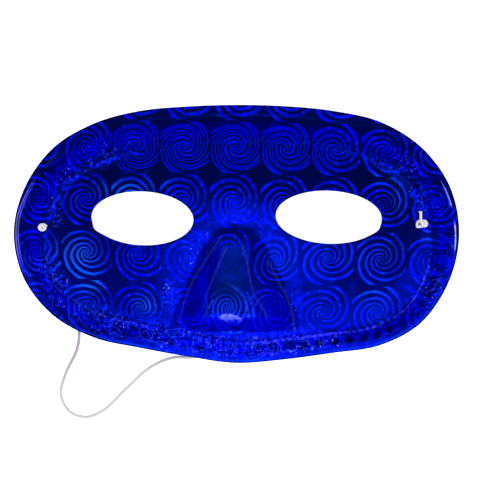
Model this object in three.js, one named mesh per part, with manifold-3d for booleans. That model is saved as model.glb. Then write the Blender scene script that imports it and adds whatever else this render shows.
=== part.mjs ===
// A half mask of thin metallic plastic, lying face up, with its elastic cord.
// Millimetres. +X is the picture's right, +Y the forehead, +Z out of the face. The rim's two ends
// rest on z = 0, and the origin is at the middle of the rim on that plane.

import Module from "manifold-3d";
import * as THREE from "three";
import { mergeVertices } from "three/addons/utils/BufferGeometryUtils.js";

const wasm = await Module();
wasm.setup();

// Sheet and rim
const SHEET = 0.5;
const RIM_RISE = 9;
const RIM_SPAN = 80;
const RIM_POWER = 1.3;
const LIP = 2.6;
const OUTLINE = [
  [89.2, 0.2], [85.5, 19], [74.2, 34.5], [57.9, 44.5], [39, 48.8], [19.9, 50.6],
  [0.6, 51.1], [-18.6, 50.6], [-37.8, 49], [-56.5, 44.2], [-73.2, 34.7], [-84.7, 19.3],
  [-89.4, 0.8], [-85.3, -17.9], [-73.3, -32.7], [-56.2, -41.5], [-37.3, -45.4], [-18.5, -48.6],
  [0.6, -51.1], [19.8, -49.7], [38.7, -47.2], [57.7, -44.2], [74.2, -35.2], [85.2, -18.8],
];
const HALF_LENGTH = 89.2;
const HALF_WIDTH = 51.1;

// Margin: how far the ring crease lies inside the rim, and how steeply the margin climbs to it
const INSET = 12.3;
const INSET_UP = 5;
const INSET_RIGHT = -1.5;
const MARGIN_SLOPE = 0.7;

// Dome of the face inside the ring
const DOME = 6;
const DOME_X = 74;
const DOME_Y = 40;
const DOME_MID = 1;
const DOME_POWER = 1.3;

// Nose
const NOSE_RISE = 15;
const NOSE_X = 1.2;
const NOSE_TOP = 2;
const NOSE_TIP = -32;
const NOSE_BASE = -39;
const NOSE_SWELL = 1.2;
const NOSE_CRISP = 0.5;
const RIDGE_HALF_TOP = 3.4;
const RIDGE_HALF_TIP = 9.5;
const FLANK_HALF_TOP = 9.5;
const FLANK_HALF_BASE = 24.5;
const BRIDGE_DIP = 1.2;
const BRIDGE_REACH = 11;

// Eye openings, each with one slight corner (an angle in degrees), and cord holes
const EYES = [
  { x: -35.5, y: 6.1, halfHeight: 10.6, corner: 203, cornerOut: 0.045 },
  { x: 38, y: 6.5, halfHeight: 10.4, corner: 331, cornerOut: 0.03 },
];
const EYE_HALF_LENGTH = 20.6;
const EYE_LEAN = -0.12;
const CORNER_WIDTH = 10;
const HOLES = [{ x: -75.9, y: 2.6 }, { x: 74.2, y: 4.1 }];
const HOLE_RADIUS = 1.3;

// Cord and knots
const CORD_RADIUS = 0.65;
const CORD_SIDES = 8;
const CORD_STEPS = 80;
const GAP = 0.3;
const KNOT_LEFT = { long: 2.1, wide: 2, high: 1.6 };
const KNOT_RIGHT = { long: 2.6, wide: 1.8, high: 1.6 };
const TAIL_LENGTH = 5;
const TAIL_RADIUS = 0.55;

// Mesh density
const OUTLINE_STEPS = 100;
const RING_STEPS = 84;
const RINGS = [0.3, 0.55, 0.8, 1];
const EYE_STEPS = 32;
const EYE_RING = 2.2;
const HOLE_STEPS = 10;
const HOLE_RING = 1.6;
const GRID_ROW = 3.5;
const NOSE_ROWS_UNDER = 3;
const NOSE_ZONE = { half: 29, top: 4, base: -40 };

const outlineCurve = new THREE.CatmullRomCurve3(
  OUTLINE.map(([x, y]) => new THREE.Vector3(x, y, 0)), true, "catmullrom", 0.5);
const outlineFine = outlineCurve.getSpacedPoints(400);

function smooth(t) {
  const s = THREE.MathUtils.clamp(t, 0, 1);
  return s * s * (3 - 2 * s);
}

// Distance from a point to the outline.
function rimDistance(x, y) {
  let least = Infinity;
  for (let i = 0; i + 1 < outlineFine.length; i++) {
    const a = outlineFine[i];
    const b = outlineFine[i + 1];
    const dx = b.x - a.x;
    const dy = b.y - a.y;
    const t = THREE.MathUtils.clamp(((x - a.x) * dx + (y - a.y) * dy) / (dx * dx + dy * dy), 0, 1);
    least = Math.min(least, Math.hypot(x - a.x - t * dx, y - a.y - t * dy));
  }
  return least;
}

// How far the ring crease lies inside the rim, by place.
function ringInset(x, y) {
  return INSET + INSET_UP * y / HALF_WIDTH + INSET_RIGHT * x / HALF_LENGTH;
}

// The height of the rim's underside: flat at both ends, arched between them.
function rimHeight(x) {
  return RIM_RISE * Math.max(0, 1 - (x / RIM_SPAN) ** 2) ** RIM_POWER;
}

function domeHeight(x, y) {
  const share = 1 - (x / DOME_X) ** 2 - ((y - DOME_MID) / DOME_Y) ** 2;
  return DOME * Math.max(0, share) ** DOME_POWER;
}

// The nose: a flat-topped wedge that widens and climbs to its tip, then drops steeply.
function noseHeight(x, y) {
  const down = THREE.MathUtils.clamp((NOSE_TOP - y) / (NOSE_TOP - NOSE_TIP), 0, 1.2);
  const ridge = THREE.MathUtils.lerp(RIDGE_HALF_TOP, RIDGE_HALF_TIP, down);
  const flank = THREE.MathUtils.lerp(FLANK_HALF_TOP, FLANK_HALF_BASE, down);
  const side = THREE.MathUtils.clamp((Math.abs(x - NOSE_X) - ridge) / (flank - ridge), 0, 1);
  const across = 1 - NOSE_CRISP * side - (1 - NOSE_CRISP) * smooth(side);
  const under = 1 - smooth((NOSE_TIP - y) / (NOSE_TIP - NOSE_BASE));
  const dip = BRIDGE_DIP * Math.exp(-(((x - NOSE_X) ** 2 + (y - NOSE_TOP) ** 2) / BRIDGE_REACH ** 2));
  return NOSE_RISE * Math.min(down, 1) ** NOSE_SWELL * across * under - dip;
}

// The height of the outer face.
function faceHeight(x, y) {
  const inset = ringInset(x, y);
  const climb = (rimDistance(x, y) - LIP) / (inset - LIP);
  const margin = MARGIN_SLOPE * (inset - LIP) * smooth(climb);
  return SHEET + rimHeight(x) + margin + domeHeight(x, y) + noseHeight(x, y) * smooth(climb);
}

function faceNormal(x, y) {
  const step = 0.02;
  const slopeX = (faceHeight(x + step, y) - faceHeight(x - step, y)) / (2 * step);
  const slopeY = (faceHeight(x, y + step) - faceHeight(x, y - step)) / (2 * step);
  return new THREE.Vector3(-slopeX, -slopeY, 1).normalize();
}

// A closed loop around an eye or a hole, grown outwards by a margin.
function eyeLoop(eye, grow) {
  return Array.from({ length: EYE_STEPS }, (_, i) => {
    const turn = 360 * i / EYE_STEPS;
    const angle = THREE.MathUtils.degToRad(turn);
    const swell = 1 + eye.cornerOut * Math.exp(-(((turn - eye.corner) / CORNER_WIDTH) ** 2));
    const y = (eye.halfHeight * swell + grow) * Math.sin(angle);
    return [eye.x + (EYE_HALF_LENGTH * swell + grow) * Math.cos(angle) + EYE_LEAN * y, eye.y + y];
  });
}

function holeLoop(hole, grow) {
  return Array.from({ length: HOLE_STEPS }, (_, i) => {
    const angle = 2 * Math.PI * i / HOLE_STEPS;
    const reach = HOLE_RADIUS + grow;
    return [hole.x + reach * Math.cos(angle), hole.y + reach * Math.sin(angle)];
  });
}

// The outline moved inwards by a distance that may differ by place.
function insetLoop(steps, distanceAt) {
  return Array.from({ length: steps }, (_, i) => {
    const at = outlineCurve.getPointAt(i / steps);
    const along = outlineCurve.getTangentAt(i / steps);
    const move = distanceAt(at.x, at.y);
    return [at.x - along.y * move, at.y + along.x * move];
  });
}

// The distance from the rim to a share of the way from the lip to the ring crease.
function marginAt(share) {
  return (x, y) => LIP + share * (ringInset(x, y) - LIP);
}

function inside(loop, x, y) {
  let odd = false;
  for (let i = 0, j = loop.length - 1; i < loop.length; j = i++) {
    const [ax, ay] = loop[i];
    const [bx, by] = loop[j];
    if (ay > y !== by > y && x < ((bx - ax) * (y - ay)) / (by - ay) + ax) odd = !odd;
  }
  return odd;
}

// Points of a triangular grid that pass a test, with one row at a given y.
function gridPoints(rowStep, rowAt, keep) {
  const points = [];
  const pitch = rowStep * 2 / Math.sqrt(3);
  const rows = Math.ceil(2 * HALF_WIDTH / rowStep);
  const columns = Math.ceil(HALF_LENGTH / pitch);
  for (let row = -rows; row <= rows; row++) {
    for (let column = -columns; column <= columns; column++) {
      const x = (column + (row & 1) / 2) * pitch;
      const y = rowAt + row * rowStep;
      if (keep(x, y)) points.push([x, y]);
    }
  }
  return points;
}

function inNoseZone(x, y) {
  return Math.abs(x - NOSE_X) < NOSE_ZONE.half && y < NOSE_ZONE.top && y > NOSE_ZONE.base;
}

// Whether a point is well inside the ring and clear of every opening.
function isOpenFace(x, y, clear, ringShare) {
  if (!inside(loops.outline, x, y)) return false;
  const climb = (rimDistance(x, y) - LIP) / (ringInset(x, y) - LIP);
  if (climb < ringShare) return false;
  if (EYES.some((eye) => inside(eyeLoop(eye, EYE_RING + clear), x, y))) return false;
  return !HOLES.some((hole) => Math.hypot(x - hole.x, y - hole.y) < HOLE_RADIUS + HOLE_RING + clear);
}

// Delaunay triangles of points in the plane, added one by one.
function triangulate(points) {
  const far = 4000;
  const all = [...points, [-far, -far], [far, -far], [0, far]];
  const first = points.length;
  let triangles = [circled(all, first, first + 1, first + 2)];
  for (let p = 0; p < points.length; p++) {
    const [x, y] = all[p];
    const edges = new Map();
    const kept = [];
    for (const t of triangles) {
      if ((x - t.x) ** 2 + (y - t.y) ** 2 > t.reach - 1e-9) {
        kept.push(t);
        continue;
      }
      for (let k = 0; k < 3; k++) {
        const a = t.corners[k];
        const b = t.corners[(k + 1) % 3];
        if (!edges.delete(`${b},${a}`)) edges.set(`${a},${b}`, [a, b]);
      }
    }
    for (const [a, b] of edges.values()) kept.push(circled(all, a, b, p));
    triangles = kept;
  }
  return triangles.map((t) => t.corners).filter((corners) => corners.every((c) => c < first));
}

// A triangle with its circumcircle's centre and squared radius.
function circled(points, a, b, c) {
  const [ax, ay] = points[a];
  const [bx, by] = points[b];
  const [cx, cy] = points[c];
  const twice = 2 * (ax * (by - cy) + bx * (cy - ay) + cx * (ay - by));
  const aa = ax * ax + ay * ay;
  const bb = bx * bx + by * by;
  const cc = cx * cx + cy * cy;
  const x = (aa * (by - cy) + bb * (cy - ay) + cc * (ay - by)) / twice;
  const y = (aa * (cx - bx) + bb * (ax - cx) + cc * (bx - ax)) / twice;
  return { corners: [a, b, c], x, y, reach: (ax - x) ** 2 + (ay - y) ** 2 };
}

const loops = {
  outline: insetLoop(OUTLINE_STEPS, () => 0),
  openings: [...EYES.map((eye) => eyeLoop(eye, 0)), ...HOLES.map((hole) => holeLoop(hole, 0))],
};

function shellPlan() {
  const guides = [
    ...insetLoop(OUTLINE_STEPS, marginAt(0)),
    ...RINGS.flatMap((share) => insetLoop(RING_STEPS, marginAt(share))),
  ].filter(([x, y]) => isOpenFace(x, y, 0.6, -1) && !inNoseZone(x, y));
  const noseRow = (NOSE_TIP - NOSE_BASE) / NOSE_ROWS_UNDER;
  const wide = gridPoints(GRID_ROW, 0, (x, y) => isOpenFace(x, y, 1.6, 1.25) && !inNoseZone(x, y));
  const fine = gridPoints(noseRow, NOSE_TIP, (x, y) => isOpenFace(x, y, 1.2, 0.6) && inNoseZone(x, y));
  return [
    ...loops.outline,
    ...loops.openings.flat(),
    ...EYES.flatMap((eye) => eyeLoop(eye, EYE_RING)),
    ...HOLES.flatMap((hole) => holeLoop(hole, HOLE_RING)),
    ...guides,
    ...wide,
    ...fine,
  ];
}

function makeShell() {
  const plan = shellPlan();
  const triangles = triangulate(plan).filter((corners) => {
    const x = corners.reduce((sum, c) => sum + plan[c][0], 0) / 3;
    const y = corners.reduce((sum, c) => sum + plan[c][1], 0) / 3;
    return inside(loops.outline, x, y) && !loops.openings.some((loop) => inside(loop, x, y));
  });
  const outer = plan.map(([x, y]) => new THREE.Vector3(x, y, faceHeight(x, y)));
  const inner = outer.map((p) => p.clone().addScaledVector(faceNormal(p.x, p.y), -SHEET));
  const ground = 1e-3;
  for (const p of inner) if (Math.abs(p.z) < ground) p.z = 0;
  const under = outer.length;
  const index = [];
  const open = new Map();
  for (const [a, b, c] of triangles) {
    index.push(a, b, c, under + a, under + c, under + b);
    for (const [p, q] of [[a, b], [b, c], [c, a]]) {
      if (!open.delete(`${q},${p}`)) open.set(`${p},${q}`, [p, q]);
    }
  }
  for (const [a, b] of open.values()) index.push(b, a, under + a, b, under + a, under + b);
  const geometry = new THREE.BufferGeometry().setFromPoints([...outer, ...inner]);
  geometry.setIndex(index);
  return geometry;
}

// The point on the outer face at a hole, and the direction straight out of the sheet there.
function holeMouth(hole) {
  const mouth = new THREE.Vector3(hole.x, hole.y, faceHeight(hole.x, hole.y));
  return { mouth, out: faceNormal(hole.x, hole.y) };
}

// The cord: through the left hole, down to the floor, out under the rim in one loose loop, back
// under the mask and up through the right hole.
function makeCord() {
  const floor = CORD_RADIUS + 0.05;
  const start = holeMouth(HOLES[0]);
  const end = holeMouth(HOLES[1]);
  const route = [
    start.mouth,
    start.mouth.clone().addScaledVector(start.out, -2),
    new THREE.Vector3(-73.4, 0.4, 2.3),
    new THREE.Vector3(-72.4, -2, 1),
    new THREE.Vector3(-71.4, -5.2, floor),
    new THREE.Vector3(-68.6, -15, floor),
    new THREE.Vector3(-65.2, -27, floor),
    new THREE.Vector3(-62.9, -38.6, floor),
    new THREE.Vector3(-63.6, -46, floor),
    new THREE.Vector3(-68.5, -56.6, floor),
    new THREE.Vector3(-70.2, -64.6, floor),
    new THREE.Vector3(-66.6, -71.3, floor),
    new THREE.Vector3(-60.1, -73.5, floor),
    new THREE.Vector3(-52.7, -70.5, floor),
    new THREE.Vector3(-43.9, -62.1, floor),
    new THREE.Vector3(-34.3, -53.6, floor),
    new THREE.Vector3(-25.4, -49.7, floor),
    new THREE.Vector3(-16, -49.2, floor),
    new THREE.Vector3(-4, -45.4, floor),
    new THREE.Vector3(8, -36, floor),
    new THREE.Vector3(22, -26.5, floor),
    new THREE.Vector3(38, -24, floor),
    new THREE.Vector3(54, -19.5, floor),
    new THREE.Vector3(65, -8.5, floor),
    new THREE.Vector3(68.9, -1.4, floor),
    new THREE.Vector3(70.2, 1, 1),
    new THREE.Vector3(71.3, 2.9, 2.3),
    end.mouth.clone().addScaledVector(end.out, -2),
    end.mouth,
  ];
  const section = new THREE.Shape(Array.from({ length: CORD_SIDES }, (_, i) => {
    const angle = 2 * Math.PI * (i + 0.5) / CORD_SIDES;
    return new THREE.Vector2(CORD_RADIUS * Math.cos(angle), CORD_RADIUS * Math.sin(angle));
  }));
  const path = new THREE.CatmullRomCurve3(route, false, "centripetal");
  return new THREE.ExtrudeGeometry(section, { steps: CORD_STEPS, extrudePath: path, bevelEnabled: false });
}

// A knot's body, a squashed ball that sits clear of the sheet over its hole.
function knotBody(hole, size) {
  const { mouth, out } = holeMouth(hole);
  const ball = new THREE.SphereGeometry(1, 14, 9).scale(size.long, size.wide, size.high);
  const tip = new THREE.Quaternion().setFromUnitVectors(new THREE.Vector3(0, 0, 1), out);
  const centre = mouth.clone().addScaledVector(out, size.high + GAP);
  return { ball: ball.applyQuaternion(tip).translate(centre.x, centre.y, centre.z), centre, out };
}

function toSolid(geometry) {
  geometry.deleteAttribute("normal");
  geometry.deleteAttribute("uv");
  const merged = mergeVertices(geometry, 1e-4);
  return new wasm.Manifold(new wasm.Mesh({
    numProp: 3,
    vertProperties: new Float32Array(merged.attributes.position.array),
    triVerts: new Uint32Array(merged.index.array),
  }));
}

function fromSolid(solid) {
  const mesh = solid.getMesh();
  const geometry = new THREE.BufferGeometry();
  geometry.setAttribute("position", new THREE.BufferAttribute(new Float32Array(mesh.vertProperties), 3));
  geometry.setIndex(new THREE.BufferAttribute(new Uint32Array(mesh.triVerts), 1));
  return geometry;
}

function makeRoundKnot() {
  return knotBody(HOLES[0], KNOT_LEFT).ball;
}

// The right knot, with the cord's cut end lying up the forehead side.
function makeTailedKnot() {
  const { ball, centre, out } = knotBody(HOLES[1], KNOT_RIGHT);
  const along = new THREE.Vector3(0, 1, 0).addScaledVector(out, -out.y).normalize();
  const tail = new THREE.CylinderGeometry(TAIL_RADIUS, TAIL_RADIUS, TAIL_LENGTH, CORD_SIDES);
  tail.applyQuaternion(new THREE.Quaternion().setFromUnitVectors(new THREE.Vector3(0, 1, 0), along));
  const middle = centre.clone().addScaledVector(along, TAIL_LENGTH / 2);
  tail.translate(middle.x, middle.y, middle.z);
  return fromSolid(toSolid(ball).add(toSolid(tail)));
}

function makeMesh(name, geometry, colour, roughness, metalness) {
  const material = new THREE.MeshStandardMaterial({ color: colour, roughness, metalness });
  const mesh = new THREE.Mesh(geometry, material);
  mesh.name = name;
  return mesh;
}

const mask = new THREE.Group();
mask.add(
  makeMesh("mask_shell", makeShell(), 0x0000c8, 0.2, 0.9),
  makeMesh("elastic_cord", makeCord(), 0xe9e6ec, 0.8, 0),
  makeMesh("knot_left", makeRoundKnot(), 0xe9e6ec, 0.8, 0),
  makeMesh("knot_right", makeTailedKnot(), 0xe9e6ec, 0.8, 0),
);

export default mask;
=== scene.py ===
import math
from types import SimpleNamespace

import bmesh
import bpy
import numpy as np
from mathutils import Matrix, Vector
from mathutils.geometry import delaunay_2d_cdt


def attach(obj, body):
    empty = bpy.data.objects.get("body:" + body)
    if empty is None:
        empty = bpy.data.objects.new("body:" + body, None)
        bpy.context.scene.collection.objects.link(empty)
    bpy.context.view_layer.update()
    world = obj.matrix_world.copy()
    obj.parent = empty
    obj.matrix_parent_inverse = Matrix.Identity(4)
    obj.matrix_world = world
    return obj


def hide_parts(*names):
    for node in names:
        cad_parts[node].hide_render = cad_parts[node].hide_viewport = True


# A metallic half mask of thin foil-faced plastic, lying face up, with its elastic cord.
# Shapes are worked out in millimetres, as the part is, and turned to metres where a mesh is made.
MM = 0.001

# Sheet and rim
SHEET = 0.5
RIM_RISE = 9.0
RIM_SPAN = 80.0
RIM_POWER = 1.3
LIP = 2.6
OUTLINE = [
    (89.2, 0.2), (85.5, 19), (74.2, 34.5), (57.9, 44.5), (39, 48.8), (19.9, 50.6),
    (0.6, 51.1), (-18.6, 50.6), (-37.8, 49), (-56.5, 44.2), (-73.2, 34.7), (-84.7, 19.3),
    (-89.4, 0.8), (-85.3, -17.9), (-73.3, -32.7), (-56.2, -41.5), (-37.3, -45.4), (-18.5, -48.6),
    (0.6, -51.1), (19.8, -49.7), (38.7, -47.2), (57.7, -44.2), (74.2, -35.2), (85.2, -18.8),
]
HALF_LENGTH = 89.2
HALF_WIDTH = 51.1

# Margin, dome and nose of the face
INSET = 12.3
INSET_UP = 5.0
INSET_RIGHT = -1.5
MARGIN_SLOPE = 0.7
DOME = 6.0
DOME_X = 74.0
DOME_Y = 40.0
DOME_MID = 1.0
DOME_POWER = 1.3
NOSE_RISE = 15.8
NOSE_X = 1.2
NOSE_TOP = 2.0
NOSE_TIP = -32.0
NOSE_BASE = -39.0
NOSE_RUN = 1.2
NOSE_SWELL = 1.2
NOSE_CRISP = 0.5
TIP_SOFT = 0.01
TOP_SOFT = 0.006
RIDGE_HALF_TOP = 3.4
RIDGE_HALF_TIP = 9.5
FLANK_HALF_TOP = 9.5
FLANK_HALF_BASE = 24.5
BRIDGE_DIP = 1.2
BRIDGE_REACH = 11.0

# Eye openings, cord holes and cord
EYES = [(-35.5, 6.1), (38.0, 6.5)]
EYE_HALF_HEIGHTS = [10.6, 10.4]
EYE_HALF_LENGTH = 20.6
EYE_LEAN = -0.12
EYE_CORNERS = [math.radians(203), math.radians(331)]
CORNERS_OUT = [0.045, 0.03]
CORNER_WIDTH = math.radians(10)
HOLES = [(-75.9, 2.6), (74.2, 4.1)]
HOLE_RADIUS = 1.3
CORD_RADIUS = 0.65
CORD_CLEAR = 0.05
CORD_STRAIGHT = 2
CORD_SPAN_STEPS = 8

# Left knot: a coil that winds inwards as it rises, its angles as shares of half a turn
COIL_CORD_RADIUS = 0.42
COIL_STEPS = 72
COIL_FROM = 0.1
COIL_HALF_TURNS = 5.6
COIL_REACH = 1.7
COIL_CLOSES = 1.2
COIL_LONG = 1.08
COIL_WIDE = 0.80
COIL_BASE = 0.85
COIL_RISE = 1.1

# Right knot: its tail and loop about the hole's mouth, the third of each point out of the sheet
KNOT_CORD_RADIUS = 0.52
KNOT_SPAN_STEPS = 6
KNOT_TAIL = [(-0.65, 4.3, 1.5), (-0.6, 3.0, 1.6), (-0.6, 1.7, 1.8)]
KNOT_LOOP = [
    (-0.4, 0.7, 2.0), (0.2, -0.2, 1.9), (1.2, -0.9, 1.5), (1.9, -0.1, 1.2), (1.3, 0.95, 1.2),
    (0.1, 1.15, 1.0), (-1.3, 1.0, 1.0), (-1.9, 0.1, 1.2), (-1.9, -1.1, 1.3), (-0.9, -1.1, 1.5),
    (0.3, -0.9, 1.2), (1.2, -0.2, 1.0), (0.8, 0.3, 0.9),
]
TUBE_ROUNDNESS = 3
LEAST_GAP = 1e-4

# The right knot's frayed tip: strands from one place, each with its lean at its far end
FRAY_FROM = (-0.65, 3.9, 1.5)
FRAY_MIDDLE = (4.3, 1.55)
FRAY_END = (4.85, 1.5)
FRAY_RISE = 0.2
FRAY_LEANS = (-0.6, -0.3, 0.25, 0.55)
FRAY_THIN = 0.4

# Fine relief: the ring's ridge and crinkles, and shallow waves, each a height, a length and a seed
CREST = 0.35
CREST_HALF = 0.9
CRINKLE = 0.22
CRINKLE_HALF = 1.6
CRINKLE_LENGTH = 2.2
CRINKLE_SEED = 11
SHEET_WAVES = [(0.10, 14, 12), (0.05, 6, 13)]
CALM_FROM = 0.5
CALM_SPAN = 3
FOREHEAD_HALF = 50
FOREHEAD_FROM = -5
FOREHEAD_SPAN = 10
FOREHEAD_CALM = 0.9

# Random fields: how many waves are summed, how their lengths spread, and the sum's usual peak
SUMMED_WAVES = 12
LENGTH_SPREAD = (0.7, 1.5)
USUAL_PEAK = 1.8

# Fine mesh, and how far its grid keeps from each kind of edge
PITCH = 0.62
OUTLINE_STEPS = 720
EYE_STEPS = 160
HOLE_STEPS = 20
SPAN_STEPS = 24
RIM_CLEAR = 0.45
EYE_CLEAR = 0.4
HOLE_CLEAR = 0.35

# The outline's thinned copies, for distances and for the grid, and how many points are measured at once
RIM_EVERY = 2
GRID_RIM_EVERY = 4
NEAREST_BATCH = 4000

# The triangulation's kind and the gap within which it merges points, and the step a slope is taken over
WHOLE_HULL = 0
MERGE_WITHIN = 1e-7
SLOPE_STEP = 0.02

# Camera: the picture is 480 by 480, and one millimetre is 2.5 pixels across the rim's plane
PICTURE = 480
CAMERA_FAR = 0.9
CAMERA_TILT = math.radians(4)
CAMERA_AIM = (0.0019, -0.0024)
PIXELS_PER_M = 2500
SENSOR_MM = 36
CAMERA_CLIP = 0.05


def add_object(name, data):
    """A new object in the scene."""
    made = bpy.data.objects.new(name, data)
    bpy.context.scene.collection.objects.link(made)
    return made


def make_camera():
    """A camera that looks down on the mask from a little to its right."""
    data = bpy.data.cameras.new("camera")
    data.sensor_width = SENSOR_MM
    data.lens = SENSOR_MM * PIXELS_PER_M * CAMERA_FAR / PICTURE
    data.clip_start = CAMERA_CLIP
    camera = add_object("camera", data)
    towards = Vector((math.sin(CAMERA_TILT), 0, math.cos(CAMERA_TILT)))
    right = Vector((math.cos(CAMERA_TILT), 0, -math.sin(CAMERA_TILT)))
    camera.matrix_world = Matrix((
        (right.x, 0, towards.x, CAMERA_AIM[0] + CAMERA_FAR * towards.x),
        (right.y, 1, towards.y, CAMERA_AIM[1]),
        (right.z, 0, towards.z, CAMERA_FAR * towards.z),
        (0, 0, 0, 1),
    ))
    bpy.context.scene.camera = camera


# Shape of the face

def spline_loop(points, per_span):
    """A closed curve through the points, with per_span steps from each to the next."""
    p1 = np.array(points, float)
    p0, p2, p3 = np.roll(p1, 1, 0), np.roll(p1, -1, 0), np.roll(p1, -2, 0)
    t = np.arange(per_span)[None, :, None] / per_span
    p0, p1, p2, p3 = (p[:, None, :] for p in (p0, p1, p2, p3))
    curve = 0.5 * (2 * p1 + (p2 - p0) * t + (2 * p0 - 5 * p1 + 4 * p2 - p3) * t ** 2
                   + (3 * p1 - p0 - 3 * p2 + p3) * t ** 3)
    return curve.reshape(-1, 2)


def even_loop(loop, steps):
    """The same closed curve in equal steps."""
    closed = np.vstack([loop, loop[:1]])
    far = np.r_[0, np.cumsum(np.hypot(*np.diff(closed, axis=0).T))]
    at = np.linspace(0, far[-1], steps, endpoint=False)
    return np.stack([np.interp(at, far, closed[:, k]) for k in (0, 1)], 1)


OUTLINE_FINE = even_loop(spline_loop(OUTLINE, SPAN_STEPS), OUTLINE_STEPS)


def smooth(t):
    """0 below 0, 1 above 1, and a smooth rise between."""
    s = np.clip(t, 0, 1)
    return s * s * (3 - 2 * s)


def nearest_rim(xy):
    """Each point's distance to the outline, and how far along the outline its nearest place is."""
    a = OUTLINE_FINE[::RIM_EVERY]
    step = np.roll(a, -1, 0) - a
    size = (step ** 2).sum(1)
    least, along = np.empty(len(xy)), np.empty(len(xy))
    for start in range(0, len(xy), NEAREST_BATCH):
        batch = slice(start, start + NEAREST_BATCH)
        away = xy[batch, None, :] - a[None]
        t = np.clip((away * step).sum(2) / size, 0, 1)
        gap = ((away - t[:, :, None] * step) ** 2).sum(2)
        best = gap.argmin(1)
        row = np.arange(len(best))
        least[batch] = np.sqrt(gap[row, best])
        along[batch] = (best + t[row, best]) * math.sqrt(size[0])
    return least, along


def rim_distance(xy):
    return nearest_rim(xy)[0]


def ring_inset(x, y):
    """How far the ring crease lies inside the rim, by place."""
    return INSET + INSET_UP * y / HALF_WIDTH + INSET_RIGHT * x / HALF_LENGTH


def rim_height(x):
    """The height of the rim's underside: flat at both ends, arched between them."""
    return RIM_RISE * np.clip(1 - (x / RIM_SPAN) ** 2, 0, None) ** RIM_POWER


def dome_height(x, y):
    share = 1 - (x / DOME_X) ** 2 - ((y - DOME_MID) / DOME_Y) ** 2
    return DOME * np.clip(share, 0, None) ** DOME_POWER


def nose_climb(start, down):
    """How much of its height the nose has reached, rounded at its top and at its tip."""
    at_top = 1 - math.sqrt(1 + TIP_SOFT)
    turned = np.minimum(start, NOSE_RUN) + 1 - np.sqrt((down - 1) ** 2 + TIP_SOFT)
    risen = 0.5 * (turned - at_top) / (1 - at_top)
    return (risen + np.sqrt(risen ** 2 + TOP_SOFT)) / (1 + math.sqrt(1 + TOP_SOFT))


def nose_height(x, y):
    """A flat-topped wedge that widens and climbs to its tip, then drops steeply."""
    start = (NOSE_TOP - y) / (NOSE_TOP - NOSE_TIP)
    down = np.clip(start, 0, NOSE_RUN)
    ridge = RIDGE_HALF_TOP + (RIDGE_HALF_TIP - RIDGE_HALF_TOP) * down
    flank = FLANK_HALF_TOP + (FLANK_HALF_BASE - FLANK_HALF_TOP) * down
    side = np.clip((np.abs(x - NOSE_X) - ridge) / (flank - ridge), 0, 1)
    across = 1 - NOSE_CRISP * side - (1 - NOSE_CRISP) * smooth(side)
    under = 1 - smooth((NOSE_TIP - y) / (NOSE_TIP - NOSE_BASE))
    dip = BRIDGE_DIP * np.exp(-((x - NOSE_X) ** 2 + (y - NOSE_TOP) ** 2) / BRIDGE_REACH ** 2)
    return NOSE_RISE * nose_climb(start, down) ** NOSE_SWELL * across * under - dip


def face_height(xy, far):
    """The outer face's height, without its fine relief."""
    x, y = xy[:, 0], xy[:, 1]
    inset = ring_inset(x, y)
    climb = (far - LIP) / (inset - LIP)
    margin = MARGIN_SLOPE * (inset - LIP) * smooth(climb)
    return SHEET + rim_height(x) + margin + dome_height(x, y) + nose_height(x, y) * smooth(climb)


def ripples(xy, length, seed):
    """A smooth random field from -1 to 1 with features of about that length."""
    draw = np.random.default_rng(seed)
    angle = draw.uniform(0, 2 * np.pi, SUMMED_WAVES)
    turn = draw.uniform(0, 2 * np.pi, SUMMED_WAVES)
    pace = 2 * np.pi / (length * draw.uniform(*LENGTH_SPREAD, SUMMED_WAVES))
    phase = (xy[:, :1] * np.cos(angle) + xy[:, 1:2] * np.sin(angle)) * pace + turn
    return np.clip(np.sin(phase).sum(1) / math.sqrt(SUMMED_WAVES / 2) / USUAL_PEAK, -1, 1)


def inside(loop, xy):
    """Whether each point lies inside a closed loop."""
    odd = np.zeros(len(xy), bool)
    for a, b in zip(loop, np.roll(loop, -1, 0)):
        if a[1] != b[1]:
            cross = (a[1] > xy[:, 1]) != (b[1] > xy[:, 1])
            odd ^= cross & (xy[:, 0] < (b[0] - a[0]) * (xy[:, 1] - a[1]) / (b[1] - a[1]) + a[0])
    return odd


def eye_loop(side, grow=0.0):
    """An eye's edge: an ellipse with one slight corner low on its outer side."""
    angle = np.linspace(0, 2 * np.pi, EYE_STEPS, endpoint=False)
    swell = 1 + CORNERS_OUT[side] * np.exp(-((angle - EYE_CORNERS[side]) / CORNER_WIDTH) ** 2)
    y = (EYE_HALF_HEIGHTS[side] * swell + grow) * np.sin(angle)
    x = (EYE_HALF_LENGTH * swell + grow) * np.cos(angle)
    return np.stack([EYES[side][0] + x + EYE_LEAN * y, EYES[side][1] + y], 1)


def hole_loop(hole, grow=0.0):
    angle = np.linspace(0, 2 * np.pi, HOLE_STEPS, endpoint=False)
    reach = HOLE_RADIUS + grow
    return np.stack([hole[0] + reach * np.cos(angle), hole[1] + reach * np.sin(angle)], 1)


def fine_relief(xy, far):
    """The ring's ridge and crinkles, and the shallow waves of the thin sheet."""
    x, y = xy[:, 0], xy[:, 1]
    from_ring = far - ring_inset(x, y)
    crest = CREST * np.exp(-(from_ring / CREST_HALF) ** 2)
    band = np.exp(-(from_ring / CRINKLE_HALF) ** 2)
    crinkle = CRINKLE * band * ripples(xy, CRINKLE_LENGTH, CRINKLE_SEED)
    waves = sum(high * ripples(xy, length, seed) for high, length, seed in SHEET_WAVES)
    calm = smooth((far - CALM_FROM) / CALM_SPAN)
    forehead = np.exp(-(x / FOREHEAD_HALF) ** 4) * smooth((y - FOREHEAD_FROM) / FOREHEAD_SPAN)
    return ((crest + crinkle) * (1 - FOREHEAD_CALM * forehead) + waves) * calm


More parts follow.
